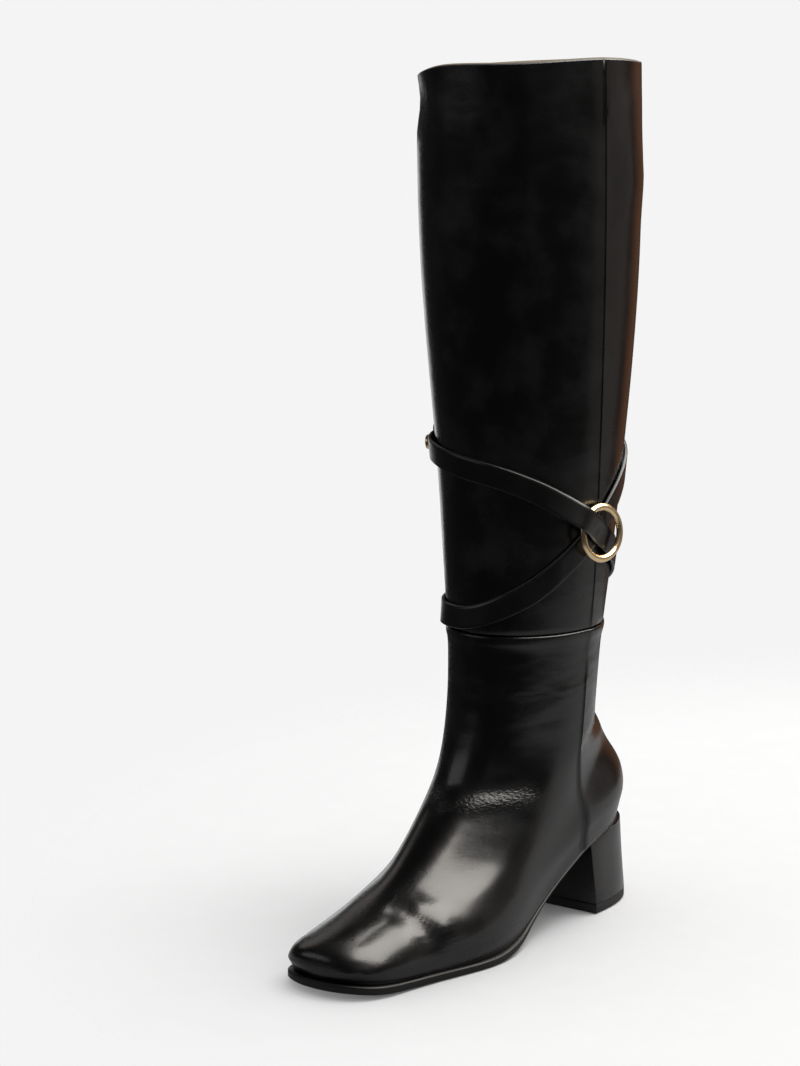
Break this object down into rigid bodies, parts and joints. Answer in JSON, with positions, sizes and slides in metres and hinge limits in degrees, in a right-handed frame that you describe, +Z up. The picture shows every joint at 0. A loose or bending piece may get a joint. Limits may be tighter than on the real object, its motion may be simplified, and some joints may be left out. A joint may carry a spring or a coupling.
{
  "type": "tall boot",
  "caption": "Tall leather boot for the left foot with a soft square toe, a block heel and a strap crossed through a metal ring at the ankle.",
  "frame": {"origin": "middle of the boot's outline on the floor, between the heel and the toe", "axes": "-Y towards the toe, +X to the lateral side of the left foot, +Z up along the shaft"},
  "size_m": [0.114, 0.2445, 0.4591],
  "materials": {
    "black_calf_leather": "polished smooth calf",
    "black_strap_leather": "polished smooth strap",
    "sole_leather": "blackened and waxed edge",
    "heel_cover": "covered heel, satin",
    "heel_rubber": "matte",
    "insole_leather": "natural lining leather",
    "pale_gold": "polished pale gold plate"
  },
  "bodies": {
    "root": {"upper": "black_calf_leather", "shaft": "black_calf_leather", "harness_strap": "black_strap_leather", "keeper": "black_strap_leather", "outsole": "sole_leather", "heel_block": "heel_cover", "heel_top_piece": "heel_rubber", "insole": "insole_leather", "ring": "pale_gold", "stud": "pale_gold"}
  },
  "joints": []
}
